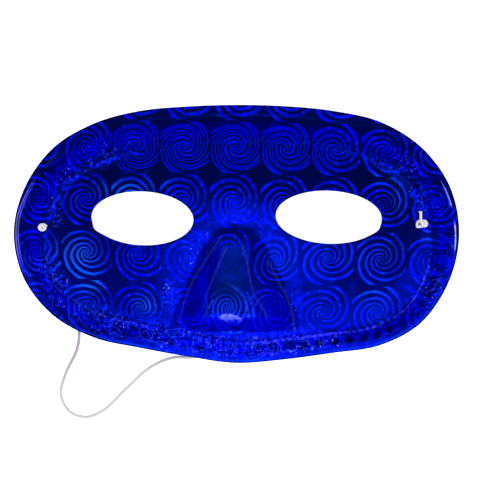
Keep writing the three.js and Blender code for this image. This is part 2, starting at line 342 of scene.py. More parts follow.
def shell_plan():
    """The boundary loops of the fine mesh in plan, the outline first, and the points between them."""
    openings = [eye_loop(side) for side in (0, 1)] + [hole_loop(hole) for hole in HOLES]
    row = PITCH * math.sqrt(3) / 2
    rows = np.arange(-math.ceil(HALF_WIDTH / row) - 1, math.ceil(HALF_WIDTH / row) + 2)
    columns = np.arange(-math.ceil(HALF_LENGTH / PITCH) - 1, math.ceil(HALF_LENGTH / PITCH) + 2)
    grid = np.stack(np.meshgrid(columns * PITCH, rows * row), -1).astype(float)
    grid[1::2, :, 0] += PITCH / 2
    grid = grid.reshape(-1, 2)
    grid = grid[inside(OUTLINE_FINE[::GRID_RIM_EVERY], grid)]
    keep = rim_distance(grid) > RIM_CLEAR
    for side in (0, 1):
        keep &= ~inside(eye_loop(side, EYE_CLEAR), grid)
    for hole in HOLES:
        keep &= np.hypot(*(grid - hole).T) > HOLE_RADIUS + HOLE_CLEAR
    return [OUTLINE_FINE] + openings, grid[keep]


def vertex_normals(points, triangles):
    """The direction straight out of the sheet at each point."""
    a, b, c = (points[triangles[:, k]] for k in range(3))
    flat = np.cross(b - a, c - a)
    normals = np.zeros_like(points)
    for k in range(3):
        np.add.at(normals, triangles[:, k], flat)
    return normals / np.linalg.norm(normals, axis=1)[:, None]


def loop_edges(loops):
    """The edges of all the loops, as pairs of point numbers counted on from loop to loop."""
    edges, start = [], 0
    for loop in loops:
        edges += [(start + i, start + (i + 1) % len(loop)) for i in range(len(loop))]
        start += len(loop)
    return edges


def face_triangles(plan, loops, edges):
    """The triangles within the outline and outside the openings, all turned to face up."""
    points = [Vector(p) for p in plan]
    faces = delaunay_2d_cdt(points, edges, [], WHOLE_HULL, MERGE_WITHIN)[2]
    triangles = np.array(faces)
    middle = plan[triangles].mean(1)
    keep = inside(OUTLINE_FINE, middle)
    for loop in loops[1:]:
        keep &= ~inside(loop, middle)
    triangles = triangles[keep]
    a, b, c = (plan[triangles[:, k]] for k in range(3))
    turned = np.cross(b - a, c - a) < 0
    triangles[turned] = triangles[turned][:, ::-1]
    return triangles


def cut_edges(edges, under):
    """The sheet's own thickness along the outline and the openings, two triangles to an edge."""
    edges = np.array(edges)
    first = len(OUTLINE_FINE)
    edges = np.vstack([edges[:first], edges[first:][:, ::-1]])
    p, q = edges[:, 0], edges[:, 1]
    return np.vstack([np.column_stack([q, p, p + under]), np.column_stack([q, p + under, q + under])])


def make_shell():
    """The thin sheet: its outer face, its back a sheet's thickness inside it, and its cut edges."""
    loops, grid = shell_plan()
    plan = np.vstack(loops + [grid])
    edges = loop_edges(loops)
    triangles = face_triangles(plan, loops, edges)
    far, along = nearest_rim(plan)
    far[:len(OUTLINE_FINE)] = 0
    outer = np.column_stack([plan, face_height(plan, far) + fine_relief(plan, far)])
    inner = outer - SHEET * vertex_normals(outer, triangles)
    under = len(outer)
    faces = np.vstack([triangles, triangles[:, [0, 2, 1]] + under, cut_edges(edges, under)])
    points = np.vstack([outer, inner]) * MM
    mesh = bpy.data.meshes.new("mask_foil_shell")
    mesh.from_pydata(points.tolist(), [], faces.tolist())
    mesh.polygons.foreach_set("use_smooth", [True] * len(faces))
    slots = np.zeros(len(faces), int)
    slots[len(triangles):] = 1
    mesh.polygons.foreach_set("material_index", slots)
    add_foil_fields(mesh, np.vstack([plan, plan]), np.r_[far, far], np.r_[along, along])
    return add_object("mask_foil_shell", mesh)


# Foil pattern: nearly square swirl cells, laid over the face and stretched by the forming

CELL_X = 19.5
CELL_Y = 21.3
CELL_AT = (1.6, 12.7)
ROW_TILT = 0.021
NOSE_SHIFT = 1.6
NOSE_PINCH = 2.7
NOSE_PINCH_AT = 18.0
PINCH_X = -0.8
PINCH_HALF = 34
PINCH_FROM = 6
PINCH_SPAN = 14
NOSE_SAG = 0.5
LEFT_STRETCH = 2.0
STRETCH_FROM = -45
STRETCH_SPAN = 35
LEFT_DRIFT = 1.0
DRIFT_FROM = 10
DRIFT_SPAN = 40
PULL_LEFT = 2.0
PULL_LEFT_AT = 30.0
PULL_RIGHT = 3.8
PULL_RIGHT_AT = 38.0
PULL_FROM = 13
PULL_SPAN = 40
PULL_MOST = 1.1

# How loose the foil is along the ring and in the margin, and how far from each it eases off
RING_BAND = 2.5
RING_CRUMPLE = 0.2
RING_LOOSE = 0.55
MARGIN_LOOSE = 0.22
MARGIN_EASE = 4
LIP_FROM = 1
LIP_EASE = 3

# How far inside the rim the lip's gleam runs, and how much further in it lies for each step up
GLEAM_LEFT = 0.9
GLEAM_LEFT_DRIFT = 0.08
GLEAM_LEFT_FROM = 8
GLEAM_RIGHT = 1.45
GLEAM_RIGHT_DRIFT = 0.04
SECOND_GLEAM = 0.7

# Where the forming shifted single swirls: x, y, half width, how far right, how far up
NUDGES = [(14.5, -10, 9, 2.0, -1.2), (-2, -8, 6, 0, 0.8), (-4, -29, 7, 0, 2.2), (13, -29, 7, 2.4, 2.2)]

# Broad zones of the foil's look, each a list of soft ellipses: x, y, half width, half height, amount
AZURE_ZONES = [
    (-63, -10, 7, 8, 0.85), (-57, -19, 5, 3.5, 0.9), (-43, 18, 8, 3, 0.7), (-28, 21, 4, 2.5, 0.4),
    (-34, -28, 4, 3, 0.5), (58, 22, 8, 2.5, 0.35), (66, 14, 3, 6, 0.25), (36, -8, 9, 9, 0.06),
    (50, -9, 4, 9, 0.15), (60, -8, 8, 8, 0.12), (54, -22, 8, 3, 0.25), (57, -27, 8, 8, 0.1),
    (36, -28, 8, 8, 0.03), (20, -11, 8, 8, 0.1), (77, -1, 4, 2.5, 0.3), (-78, -14, 6, 6, 0.25),
    (-62, -30, 6, 4, 0.3), (0, -28, 8, 7, 0.45),
]
# Where a painted sheen, standing for reflected light, lies over the swirls
WASH_ZONES = [
    (3, 6, 13, 3, 0.5), (14, 0, 5, 7, 0.3), (-11, -1, 4, 3, 0.5), (-15, -10, 4, 6, 0.4),
    (-24, -23, 4, 7, 0.6), (25, -27, 2.5, 10, 0.5), (9.5, -28, 2.5, 6, 0.5), (-1, -30, 8, 5, 0.35),
    (-9, -35, 6, 4, 0.5), (10, -37, 10, 3, 0.4), (-2, -44, 38, 5, 0.6), (24, -40, 16, 3, 0.5),
    (-40, -36, 14, 3, 0.2), (50, -42, 18, 3, 0.3), (7, -22, 4, 9, 0.3), (-27, -34, 6, 4, 0.35),
]
# Where the arms are drawn as painted highlights on their flanks, with painted dark cores
HOLLOW_ZONES = [
    (-12, 34, 40, 10, 1.4), (-45, 32, 12, 9, 0.7), (34, 32, 12, 9, 0.6),
]
# Painted shade on the top of the nose
DULL_ZONES = [(0.5, -8, 4.5, 5, 0.9), (0.5, -15, 6, 6, 1.2), (-1, -21, 7.5, 4, 1.0)]
# Painted shade on the nose's flanks
WALL_ZONES = [
    (-6, -10, 2.5, 5, 1.0), (-10, -18, 3.5, 6, 1.1), (-14, -27, 4.5, 6, 0.9), (17, -29, 5, 7, 0.55),
]
# Where a painted highlight runs along the lower rim
RIM_ZONES = [(-50, -44, 26, 12, 0.5), (60, -40, 34, 12, 0.4), (6, -52, 16, 3, 0.6)]
CRUMPLE_ZONES = [
    (-10, 48, 66, 3, 0.3), (-15, -9, 5, 8, 0.7), (-25, -24, 5, 9, 0.85), (-2, -46, 36, 6.5, 0.85),
    (14, 4, 7, 5, 0.35), (-10, 0, 5, 4, 0.4), (24, -27, 2.5, 11, 0.6), (-50, 30, 8, 8, 0.6),
    (-66, 24, 8, 9, 0.5), (-70, 8, 5, 9, 0.7), (64, 26, 9, 6, 0.5), (74, 14, 6, 9, 0.6),
    (-52, -31, 12, 5, 0.6), (-34, -38, 10, 5, 0.5), (-68, -20, 7, 8, 0.4), (28, -42, 14, 4, 0.6),
    (-18, -38, 7, 4, 0.5), (-52, -38, 14, 5, 0.45), (-74, -14, 6, 10, 0.5), (-72, -26, 6, 5, 0.4),
    (79, -22, 7, 10, 0.75),
]
WRINKLE_ZONES = [(84, -8, 5, 12, 1.0), (76, -26, 9, 10, 1.0), (80, 14, 5, 8, 0.6), (0, -46, 34, 6, 0.9)]
# Where the dimples show, in relief and in painted shade
DIMPLE_ZONES = [(48, -40, 22, 10, 1.6), (76, -20, 9, 12, 1.2), (-45, -38, 20, 8, 0.4)]
# Where the ring's crest carries a painted highlight
RIDGE_ZONES = [(48, -38, 24, 7, 0.8), (74, -22, 8, 10, 0.8), (20, -40, 12, 4, 0.5), (-52, -32, 18, 7, 0.8)]
# Where the lip's painted gleams and its painted dark edge show
EDGE_ZONES = [(-86, 4, 8, 22, 0.9), (-72, 30, 8, 6, 0.45), (86, 17, 5, 6, 1.0), (88, -1, 5, 5.5, 1.0)]
GLARE_ZONES = [
    (-1.2, -32.4, 2.8, 1.6, 1.4), (2.0, -33.4, 3.2, 1.5, 1.4), (-5, -40.5, 6, 1.0, 0.55),
    (9, -41, 3, 1.6, 0.6), (19, -41.5, 5, 0.8, 0.5),
]

# Folds of the nose, each a line of points along which a thin painted highlight is drawn
NOSE_LINES = [
    [(-3.6, -0.8), (-7.3, -6.3), (-12, -13.3), (-16.1, -20), (-19, -27), (-20.9, -34.6)],
    [(-1.9, -5.5), (-4.1, -10.9), (-7, -17.9), (-9.6, -24.5), (-10.3, -28.7)],
    [(4.7, -4.7), (6.4, -10.9), (7.7, -17.9), (9.7, -24.5), (12.4, -28.4), (14.5, -32.7)],
    [(14.3, -11), (18.1, -18), (21.6, -25.1), (23.8, -31.8), (24.5, -38.2)],
]
NOSE_LINE_HALF = 0.36

# Bright arms of the swirl at the nose's tip, where the foil is drawn out
TIP_ARMS = [
    [(-0.8, -19.1), (3.9, -22.5), (6.6, -27.6), (7.4, -32.6)],
    [(6.6, -22.8), (8.8, -27.7), (9.2, -31)],
    [(-6.6, -25.7), (-8.9, -30.3), (-8.8, -34.3), (-6, -37.5)],
    [(-4.2, -38.2), (0.9, -39), (5.7, -37.8), (8.6, -35)],
]
TIP_ARM_HALF = 0.3


def zones(xy, ellipses):
    """The sum of the soft ellipses at each point, from 0 to 1."""
    total = np.zeros(len(xy))
    for x, y, wide, high, amount in ellipses:
        total += amount * np.exp(-((xy[:, 0] - x) / wide) ** 2 - ((xy[:, 1] - y) / high) ** 2)
    return np.clip(total, 0, 1)


def strokes(xy, lines, half):
    """1 on the lines, falling to nothing a little past half away."""
    least = np.full(len(xy), np.inf)
    for line in lines:
        for a, b in zip(np.array(line), np.array(line[1:])):
            t = np.clip((xy - a) @ (b - a) / ((b - a) @ (b - a)), 0, 1)
            least = np.minimum(least, np.hypot(*(xy - a - t[:, None] * (b - a)).T))
    return np.exp(-(least / half) ** 2)


def store(mesh, name, *channels):
    """Stores one number for each point, or three."""
    kind, field = ("FLOAT", "value") if len(channels) == 1 else ("FLOAT_VECTOR", "vector")
    layer = mesh.attributes.new(name, kind, "POINT")
    layer.data.foreach_set(field, np.column_stack(channels).ravel())


def swell(q):
    """0 at 0, 1 at 1 and -1 at -1, and back to 0 far out on both sides."""
    return q * np.exp(0.5 - 0.5 * q * q)


def towards_nose(x, y):
    """How far the foil's lower rows are drawn in towards the nose."""
    low = np.clip((PULL_FROM - y) / PULL_SPAN, 0, PULL_MOST)
    most = np.where(x > 0, PULL_RIGHT, PULL_LEFT)
    return most * swell(x / np.where(x > 0, PULL_RIGHT_AT, PULL_LEFT_AT)) * low


def foil_place(x, y):
    """Where on the flat foil, in millimetres, each point was before the forming."""
    on_nose = smooth((PINCH_FROM - y) / PINCH_SPAN) * np.exp(-((x - PINCH_X) / PINCH_HALF) ** 4)
    u = x + on_nose * (NOSE_SHIFT + NOSE_PINCH * swell((x - PINCH_X) / NOSE_PINCH_AT))
    u = u + LEFT_STRETCH * smooth((STRETCH_FROM - x) / STRETCH_SPAN)
    u = u + LEFT_DRIFT * smooth((DRIFT_FROM - x) / DRIFT_SPAN)
    u = u + towards_nose(x, y)
    v = y + x * ROW_TILT + on_nose * NOSE_SAG
    for at_x, at_y, half, right, up in NUDGES:
        near = np.exp(-((x - at_x) ** 2 + (y - at_y) ** 2) / half ** 2)
        u, v = u - right * near, v - up * near
    return u, v


def gleam_line(x, y):
    """How far inside the rim the lip's gleam runs."""
    on_left = GLEAM_LEFT + GLEAM_LEFT_DRIFT * np.clip(y - GLEAM_LEFT_FROM, 0, None)
    return np.where(x < 0, on_left, GLEAM_RIGHT + GLEAM_RIGHT_DRIFT * y)


def add_foil_fields(mesh, plan, far, along):
    """Stores where each point lies on the foil, in millimetres, and how the foil looks there."""
    x, y = plan[:, 0], plan[:, 1]
    u, v = foil_place(x, y)
    from_ring = far - ring_inset(x, y)
    at_ring = np.exp(-(from_ring / RING_BAND) ** 2)
    margin = MARGIN_LOOSE * smooth(-from_ring / MARGIN_EASE) * smooth((far - LIP_FROM) / LIP_EASE)
    crumple = np.clip(RING_CRUMPLE * at_ring + margin + zones(plan, CRUMPLE_ZONES), 0, 1)
    second_gleam = np.where(x < 0, SECOND_GLEAM, 0.0)
    store(mesh, "foil", u, v, crumple)
    store(mesh, "tone", zones(plan, AZURE_ZONES), zones(plan, WASH_ZONES), zones(plan, HOLLOW_ZONES))
    store(mesh, "seam", from_ring, along, far)
    store(mesh, "form", zones(plan, DIMPLE_ZONES), zones(plan, WRINKLE_ZONES), zones(plan, DULL_ZONES))
    store(mesh, "line", zones(plan, EDGE_ZONES), zones(plan, RIDGE_ZONES),
          strokes(plan, NOSE_LINES, NOSE_LINE_HALF))
    store(mesh, "glare", zones(plan, GLARE_ZONES), RING_LOOSE * at_ring, zones(plan, RIM_ZONES))
    store(mesh, "tip", strokes(plan, TIP_ARMS, TIP_ARM_HALF))
    store(mesh, "wall", zones(plan, WALL_ZONES), second_gleam, far - gleam_line(x, y))


# Node graphs

class Graph:
    """A material's node tree, with short calls for the nodes used here."""

    def __init__(self, name):
        self.material = bpy.data.materials.new(name)
        self.material.use_nodes = True
        self.nodes = self.material.node_tree.nodes
        self.links = self.material.node_tree.links
        self.shader = next(n for n in self.nodes if n.type == "BSDF_PRINCIPLED")

    def put(self, socket, value):
        if isinstance(value, bpy.types.NodeSocket):
            self.links.new(value, socket)
        else:
            socket.default_value = value

    def math(self, operation, *values):
        node = self.nodes.new("ShaderNodeMath")
        node.operation = operation
        for socket, value in zip(node.inputs, values):
            self.put(socket, value)
        return node.outputs[0]

    def ramp(self, value, low, high, to_low=0.0, to_high=1.0):
        """value from low to high, smoothly turned to to_low to to_high."""
        node = self.nodes.new("ShaderNodeMapRange")
        node.interpolation_type = "SMOOTHSTEP"
        for socket, number in zip(node.inputs, (value, low, high, to_low, to_high)):
            self.put(socket, number)
        return node.outputs[0]

    def times(self, first, *others):
        """The product of two or more values, taken from the left."""
        for value in others:
            first = self.math("MULTIPLY", first, value)
        return first

    def apart(self, value, at):
        """How far value lies from at."""
        return self.math("ABSOLUTE", self.math("SUBTRACT", value, at))

    def reach(self, x, y):
        """The length of the step (x, y)."""
        return self.math("SQRT", self.math("ADD", self.times(x, x), self.times(y, y)))

    def blend(self, factor, a, b):
        """Colour a, turned to colour b by factor: the colour sockets of a mix node."""
        node = self.nodes.new("ShaderNodeMix")
        node.data_type = "RGBA"
        self.put(node.inputs[0], factor)
        self.put(node.inputs[6], a)
        self.put(node.inputs[7], b)
        return node.outputs[2]

    def noise(self, vector, scale, detail=2.0):
        node = self.nodes.new("ShaderNodeTexNoise")
        self.put(node.inputs["Vector"], vector)
        node.inputs["Scale"].default_value = scale
        node.inputs["Detail"].default_value = detail
        return node.outputs["Fac"]

    def bump(self, height, strength, distance):
        node = self.nodes.new("ShaderNodeBump")
        node.inputs["Strength"].default_value = strength
        node.inputs["Distance"].default_value = distance
        self.put(node.inputs["Height"], height)
        self.put(self.shader.inputs["Normal"], node.outputs[0])

    def set(self, name, value):
        self.put(self.shader.inputs[name], value)


# Swirls: four arms wound in from the cell's edge, and the dimples outside the ring
SWIRL_ARMS = 4.0
SWIRL_TURN = 12.8
SWIRL_POWER = 0.5
SWIRL_PHASE = 4.93
SWIRL_REACH = 11.6
SWIRL_REACH_SOFT = 0.5
SWIRL_EDGE = 0.35
SWIRL_EDGE_SOFT = 0.1
LEFT_LEAN = 0.6
DIMPLE_PITCH = 6.0
DIMPLE_OFF = 2.9
DIMPLE_RADIUS = 1.9
DIMPLE_SOFT = 0.8
DIMPLE_NARROW = 0.8

# Added before a fraction is taken: it keeps the number positive, and its half starts a cell at its edge
WHOLE_CELLS = 100.5

# How far loose foil is bent, shaken and broken into facets, in millimetres, and the fields' scales
BEND = (0.0, 1.0, 0.4, 3.4)
BEND_SCALE = 0.28
SHAKE = (0.0, 0.7, 0.0, 2.2)
SHAKE_SCALE = 0.6
SHAKE_DETAIL = 0.5
SHATTER = (0.4, 1.0, 0.0, 1.3)
FACET_SCALE = 0.45
FACET_SHADE = 0.7

# Levels of the swirls' wave: solid arms, which azure foil widens, and outlined arms, drawn as painted
# highlights, with their cores of painted shade
SOLID_TOP = 1.1
SOLID_FROM = (0.1, 0.8, 0.0, -0.55)
OUTLINE_LEVELS = (-0.45, -0.25)
OUTLINE_REACH = (3.6, 5.6, 0.15, 1.0)
CORE_LEVELS = (0.15, 0.4)

# Random fields of the marks: scale, detail, and the levels between which a mark comes up
PATCHES = (0.12, 2.0)
GRAIN = (0.5, 1.0)
CREASES = (0.33, 1.0)
CREASE_HALVES = (0.035, 0.010)
FLECKS = (0.75, 1.5)
FLECK_LEVELS = (0.60, 0.70)
PITS = (0.22, 1.0)
PIT_LEVELS = (0.46, 0.38)
SPECKS = (1.0, 1.0)
SPECK_LEVELS = (0.66, 0.76)
FOLDS = (1.0, 2.0)
FOLD_LEVELS = (0.48, 0.60)
FOLD_ALONG = 0.42
FOLD_ACROSS = 0.10
STRANDS = (1.0, 1.0)
STRAND_HALVES = (0.05, 0.01, 0.0, 0.45)
STRAND_LEAN = 0.5
STRAND_ACROSS = 0.9
STRAND_ALONG = 0.22
MIDDLE = 0.5

# How a mark's strength follows another field: from and to which level, and the strengths there
CREASES_SHOW = (0.4, 0.9, 0.0, 0.8)
FLECKS_SHOW = (0.3, 0.8, 0.0, 0.7)
PITS_SHOW = (0.2, 1.0, 0.0, 0.9)
PITS_IN_WASH = (0.0, 0.6, 1.0, 0.7)
SPECKS_SHOW = (0.3, 0.8)
SPECKS_IN_PATCHES = (0.42, 0.56, 0.1, 0.8)
CURLS_SHOW = (0.6, 1.0)
CURL_STRENGTH = 0.18
AZURE_ON_ARMS = (0.2, 1.0, 0.25, 1.0)
BRIGHT_GRAIN = (0.50, 0.72)
WASH_GRAIN = (0.35, 0.6, 0.25, 0.8)
TIP_GRAIN = (0.35, 0.6, 0.25, 0.9)
CREST_GRAIN = (0.40, 0.60, 0.12, 0.6)
GLARE_GRAIN = (0.35, 0.55, 0.3, 0.7)
GLARE_LEVELS = (0.4, 0.9)
DULL_STRENGTH = 0.85
WALL_STRENGTH = 0.8
FOLD_STRENGTH = 0.6
NOSE_LINE_STRENGTH = 0.09

# How the foil changes from the forehead down, by height on the flat foil: its ground as painted shade at
# the forehead and painted reflection low, its arms darker towards the bottom; and where its arms are lit
GROUND_FALL = (24.0, -24.0)
ARM_FALL = (12.0, -12.0)
LIT_LEVELS = (0.38, 0.58)
LIT_LEFT = 0.16

# Thin lines, each with its distance and its half width: the painted highlights along the rim and on the
# ring's crest, and the lip's gleams and its painted dark edge
RIM_LINE = (0.9, 0.45)
CREST_LINE = (0.0, 0.7)
FIRST_GLEAM = (0.0, 0.32)
SECOND_LINE = (0.9, 0.25)
LINE_CORE = 0.3
GLEAMS_SHOW = (0.25, 0.6)
LEFT_FAINTER = (0.0, 0.5, 1.0, 0.3)
GLEAM_HIGH = (24.0, 6.0, 0.35, 1.0)
GLEAM_LOW = (-16.0, -6.0, 0.15, 1.0)
DARK_LIP_SHOWS = (0.1, 0.5)
DARK_LIP = (0.1, -0.3, 0.0, 0.8)

# Relief: how much of each mark goes into the bump, its strength, and its depth in metres
CREASE_RELIEF = 0.5
FOLD_RELIEF = 0.8
DIMPLE_RELIEF = 0.6
GRAIN_RELIEF = (0.0, 1.0, 0.1, 0.8)
BUMP_STRENGTH = 0.5
BUMP_DEPTH = 0.0004
FOIL_ROUGHNESS = (0.0, 1.0, 0.22, 0.40)

# Foil colours
# Ground colours: darker at the forehead as painted shade, lighter low as painted reflection; the darker
# one is also the painted shade of blots, dimples and the lip
GROUND_TOP = (0.0, 0.002, 0.060, 1)
GROUND_LOW = (0.0, 0.002, 0.13, 1)
ARM_BLUE = (0.0, 0.003, 1.0, 1)
ARM_LOW = (0.0, 0.002, 0.74, 1)
ARM_DIM = (0.0, 0.002, 0.34, 1)
# Painted shade in the cores of arms drawn in outline
CORE_BLUE = (0.0, 0.002, 0.065, 1)
# Bright arms in random grain; also the painted highlight on creases and glint flecks
ARM_BRIGHT = (0.0, 0.016, 0.88, 1)
ARM_AZURE = (0.0, 0.15, 1.0, 1)
# Painted sheen, also the painted highlight on folds
WASH_BLUE = (0.0, 0.002, 0.72, 1)
# Streaks of drawn-out foil in the painted sheen
STRAND_BLUE = (0.01, 0.025, 1.0, 1)
# Painted shade on the nose's top, then on its flanks
DULL_BLUE = (0.0, 0.008, 0.16, 1)
WALL_BLUE = (0.0, 0.0, 0.30, 1)
# Painted highlight along the lower rim
RIM_BLUE = (0.0, 0.05, 0.9, 1)
TIP_BLUE = (0.01, 0.06, 1.0, 1)
# Painted highlight on the ring's crest
RIDGE_BLUE = (0.035, 0.03, 0.75, 1)
# Painted highlights: on the nose's folds, as pale dots and curls, and as glare
PALE_LILAC = (0.13, 0.14, 1.0, 1)
PALE_GLINT = (0.30, 0.28, 0.95, 1)
FOIL_TINT = (0.08, 0.12, 1.0, 1)
BACK_BLUE = (0.006, 0.008, 0.16, 1)
BACK_METALLIC = 0.3
BACK_ROUGHNESS = 0.38

# Elastic colours, and where the cord is painted greyer with the mask's painted shade as it comes out from
# under the mask, in metres
CORD_WHITE = (0.50, 0.47, 0.52, 1)
CORD_GREY = (0.35, 0.31, 0.37, 1)
KNOT_WHITE = (0.60, 0.57, 0.61, 1)
ELASTIC_ROUGHNESS = 0.85
CORD_GLOSS = 0.0
KNOT_GLOSS = 0.3
GREY_ACROSS = (-50 * MM, -60 * MM)
GREY_UP = (-66 * MM, -48 * MM)

# The floor, which glows a little of itself
FLOOR_WHITE = (0.9, 0.9, 0.9, 1)
FLOOR_ROUGHNESS = 0.9
FLOOR_GLOW = (1, 1, 1, 1)
FLOOR_GLOW_STRENGTH = 0.8


def attribute(g, name):
    """Three stored numbers, as one vector and one by one."""
    node = g.nodes.new("ShaderNodeAttribute")
    node.attribute_name = name
    return node.outputs["Vector"], split(g, node.outputs["Vector"])


def single_attribute(g, name):
    node = g.nodes.new("ShaderNodeAttribute")
    node.attribute_name = name
    return node.outputs["Fac"]


def split(g, vector):
    parts = g.nodes.new("ShaderNodeSeparateXYZ")
    g.links.new(vector, parts.inputs[0])
    return parts.outputs


def joined(g, x, y):
    """A vector in the plane."""
    vector = g.nodes.new("ShaderNodeCombineXYZ")
    g.put(vector.inputs[0], x)
    g.put(vector.inputs[1], y)
    return vector.outputs[0]


def here(g):
    """The shaded point's own x and y, in metres."""
    x, y, _ = split(g, g.nodes.new("ShaderNodeNewGeometry").outputs["Position"])
    return x, y


def facets(g, place, scale):
    """A random colour for each small facet of crumpled foil."""
    node = g.nodes.new("ShaderNodeTexVoronoi")
    g.links.new(place, node.inputs["Vector"])
    node.inputs["Scale"].default_value = scale
    return split(g, node.outputs["Color"])


def shaken(g, place, scale):
    """Two smooth random fields about nothing, for moving the pattern."""
    node = g.nodes.new("ShaderNodeTexNoise")
    g.links.new(place, node.inputs["Vector"])
    node.inputs["Scale"].default_value = scale
    node.inputs["Detail"].default_value = SHAKE_DETAIL
    fields = split(g, node.outputs["Color"])
    return [g.math("SUBTRACT", fields[k], MIDDLE) for k in (0, 1)]


def wobbled(g, place, loose):
    """The foil's coordinates, bent and shaken where it is loose, and a random level for each facet."""
    broad, fine = shaken(g, place, BEND_SCALE), shaken(g, place, SHAKE_SCALE)
    broken, flat = facets(g, place, FACET_SCALE), split(g, place)
    bend, shake, shatter = (g.ramp(loose, *amount) for amount in (BEND, SHAKE, SHATTER))
    moved = []
    for k in (0, 1):
        value = g.math("MULTIPLY_ADD", broad[k], bend, flat[k])
        value = g.math("MULTIPLY_ADD", fine[k], shake, value)
        moved.append(g.math("MULTIPLY_ADD", g.math("SUBTRACT", broken[k], MIDDLE), shatter, value))
    return moved, broken[2]


def in_cell(g, value, pitch, at):
    """How far value lies from the middle of its cell."""
    cells = g.math("DIVIDE", g.math("SUBTRACT", value, at), pitch)
    cell = g.math("FRACT", g.math("ADD", cells, WHOLE_CELLS))
    return g.times(g.math("SUBTRACT", cell, MIDDLE), pitch)


def swirl_nodes(g, across, up):
    """The wave of the four arms, their cell, and how far out and how far low on the left."""
    x = in_cell(g, across, CELL_X, CELL_AT[0])
    y = in_cell(g, up, CELL_Y, CELL_AT[1])
    reach = g.reach(x, y)
    angle = g.times(g.math("ARCTAN2", y, x), SWIRL_ARMS)
    wound = g.times(g.math("POWER", reach, SWIRL_POWER), SWIRL_TURN)
    wave = g.math("COSINE", g.math("ADD", g.math("SUBTRACT", angle, wound), SWIRL_PHASE))
    cell = g.ramp(reach, SWIRL_REACH, SWIRL_REACH - SWIRL_REACH_SOFT)
    for value, pitch in ((x, CELL_X), (y, CELL_Y)):
        edge = pitch / 2 - SWIRL_EDGE
        within = g.ramp(g.math("ABSOLUTE", value), edge + SWIRL_EDGE_SOFT, edge - SWIRL_EDGE_SOFT)
        cell = g.times(cell, within)
    return wave, cell, reach, g.math("DIVIDE", g.math("MULTIPLY_ADD", y, LEFT_LEAN, x), -CELL_X)


def strand_nodes(g):
    """A random field drawn out into strands that run down and outwards beside the nose."""
    x, y = here(g)
    beside = g.apart(x, NOSE_X * MM)
    across = g.times(g.math("MULTIPLY_ADD", y, STRAND_LEAN, beside), STRAND_ACROSS / MM)
    return g.noise(joined(g, across, g.times(y, STRAND_ALONG / MM)), *STRANDS)


def dimple_nodes(g, from_ring, along):
    """A row of dimples just outside the ring."""
    cell = g.math("FRACT", g.math("DIVIDE", along, DIMPLE_PITCH))
    side = g.times(g.math("SUBTRACT", cell, MIDDLE), DIMPLE_PITCH * DIMPLE_NARROW)
    reach = g.reach(side, g.math("ADD", from_ring, DIMPLE_OFF))
    return g.ramp(reach, DIMPLE_RADIUS, DIMPLE_RADIUS - DIMPLE_SOFT)


def line_at(g, value, at, half):
    """1 where value is near at, 0 past half away."""
    return g.ramp(g.apart(value, at), half, half * LINE_CORE)


def foil_fields(g):
    """The fields stored on the mesh, by name."""
    f = SimpleNamespace()
    f.place, (_, f.up, f.crumple) = attribute(g, "foil")
    _, (f.azure, f.wash, f.hollow) = attribute(g, "tone")
    _, (f.from_ring, f.along, f.far) = attribute(g, "seam")
    _, (f.dimpled, f.wrinkled, f.dull) = attribute(g, "form")
    _, (f.edged, f.ridged, f.nose_line) = attribute(g, "line")
    _, (f.walled, f.left, f.gleam) = attribute(g, "wall")
    _, (f.glare, f.ringed, f.low) = attribute(g, "glare")
    f.tip_arm = single_attribute(g, "tip")
    f.patchy = g.noise(f.place, *PATCHES)
    f.grain = g.noise(f.place, *GRAIN)
    return f


def add_swirls(g, f):
    """Adds the swirls' arms, solid or as painted highlights in outline, and the painted dark cores of
    those in outline.
    """
    f.loose = g.math("MAXIMUM", f.crumple, f.ringed)
    (across, up), f.facet = wobbled(g, f.place, f.loose)
    f.wave, cell, reach, f.low_left = swirl_nodes(g, across, up)
    # Arms in outline: painted highlights along their flanks
    outlined = g.times(f.hollow, g.ramp(reach, *OUTLINE_REACH))
    filled = g.ramp(f.wave, g.ramp(f.azure, *SOLID_FROM), SOLID_TOP)
    filled = g.times(filled, g.math("SUBTRACT", 1.0, outlined))
    f.arms = g.times(g.math("MULTIPLY_ADD", g.ramp(f.wave, *OUTLINE_LEVELS), outlined, filled), cell)
    # Painted shade in the cores of the outlined arms
    f.core = g.times(g.ramp(f.wave, *CORE_LEVELS), outlined, cell)


def add_crumples(g, f):
    """Adds crumpled foil's creases, which carry painted highlights, and its painted glints and blots of
    painted shade.
    """
    # Creases, in relief and with painted highlights
    crease = g.ramp(g.apart(g.noise(f.place, *CREASES), MIDDLE), *CREASE_HALVES)
    # Painted glints
    fleck = g.ramp(g.noise(f.place, *FLECKS), *FLECK_LEVELS)
    # Blots of painted shade
    pit = g.ramp(g.noise(f.place, *PITS), *PIT_LEVELS)
    f.creases = g.times(crease, g.ramp(f.crumple, *CREASES_SHOW))
    f.flecks = g.times(fleck, g.ramp(f.crumple, *FLECKS_SHOW))
    f.pits = g.times(pit, g.ramp(f.crumple, *PITS_SHOW), g.ramp(f.wash, *PITS_IN_WASH))


def add_forming(g, f):
    """Adds the strands beside the nose, shown as streaks in the painted sheen, the folds along the rim and
    the dimples outside the ring.
    """
    f.strands = g.times(g.ramp(g.apart(strand_nodes(g), MIDDLE), *STRAND_HALVES), f.wash)
    flow = joined(g, g.times(f.along, FOLD_ALONG), g.times(f.from_ring, FOLD_ACROSS))
    f.folds = g.times(g.ramp(g.noise(flow, *FOLDS), *FOLD_LEVELS), f.wrinkled)
    f.dimples = g.times(dimple_nodes(g, f.from_ring, f.along), f.dimpled)


def laid_over(g, colour, layers):
    """The colour with each layer's colour laid over it in turn, as strongly as its mark shows."""
    for mark, over in layers:
        colour = g.blend(mark, colour, over)
    return colour


